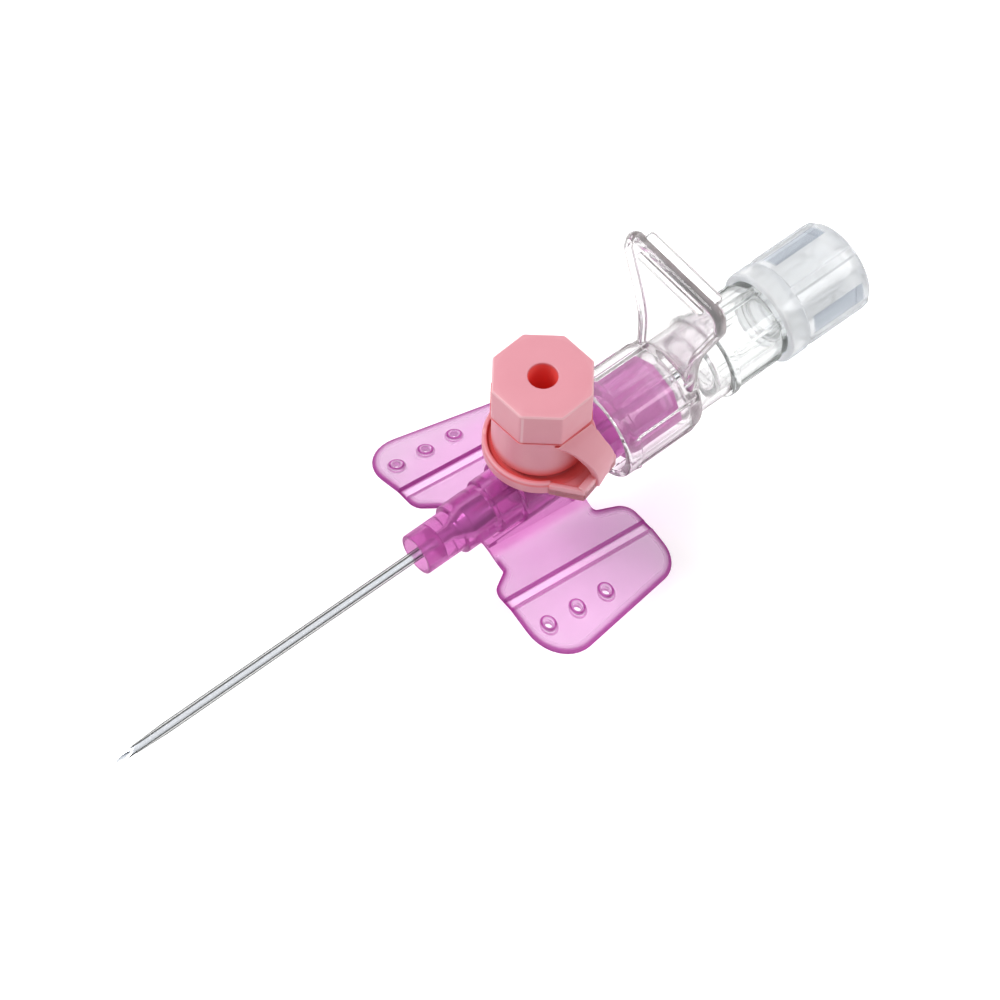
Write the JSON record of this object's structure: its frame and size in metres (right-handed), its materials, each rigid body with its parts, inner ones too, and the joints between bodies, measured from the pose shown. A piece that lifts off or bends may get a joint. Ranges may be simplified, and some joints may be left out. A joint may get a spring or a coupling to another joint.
{
  "type": "iv cannula",
  "caption": "Winged venous cannula with an injection port, flip-open port cap, steel needle in a clear handle with finger plate, flash chamber and vented rear cap.",
  "frame": {"origin": "centre of the catheter hub's front face, where the protective sheath slides on", "axes": "+X along the cannula axis from the needle tip to the rear cap, +Z along the injection port, +Y towards the left wing seen from the user's side"},
  "size_m": [0.0902, 0.0304, 0.0278],
  "materials": {
    "pink_plastic": "translucent pink moulding",
    "catheter_plastic": "clear soft tube",
    "cap_plastic": "satin salmon",
    "clear_plastic": "clear moulding",
    "chamber_plastic": "clear moulding, faint green",
    "frosted_plastic": "frosted translucent white",
    "steel": "ground stainless steel",
    "silicone": "translucent silicone",
    "filter_material": "porous white"
  },
  "bodies": {
    "catheter": {"catheter_hub": "pink_plastic", "catheter_tube": "catheter_plastic", "catheter_wedge": "steel", "port_valve": "silicone"},
    "strap_ring": {"cap_ring": "cap_plastic", "cap_strap": "cap_plastic"},
    "cap": {"port_cap": "cap_plastic"},
    "needle": {"needle_tube": "steel", "needle_hub": "clear_plastic", "flash_chamber": "chamber_plastic"},
    "rear_cap": {"luer_stopper": "frosted_plastic", "vent_filter": "filter_material"}
  },
  "joints": [
    {"name": "needle_withdraw", "type": "slide", "parent": "catheter", "child": "needle", "axis": [1, 0, 0], "range_m": [0, 0.07]},
    {"name": "rear_cap_pull", "type": "slide", "parent": "needle", "child": "rear_cap", "axis": [1, 0, 0], "range_m": [0, 0.015]},
    {"name": "cap_ring_turn", "type": "hinge", "parent": "catheter", "child": "strap_ring", "pos_m": [0.0151, 0, 0.0053], "axis": [0, 0, 1], "range_deg": [-110, 20]},
    {"name": "port_cap_open", "type": "hinge", "parent": "strap_ring", "child": "cap", "pos_m": [0.01677, -0.0067, 0.0061], "axis": [0.9703, 0.2419, 0], "range_deg": [0, 110], "deforming": ["cap_strap"]}
  ]
}
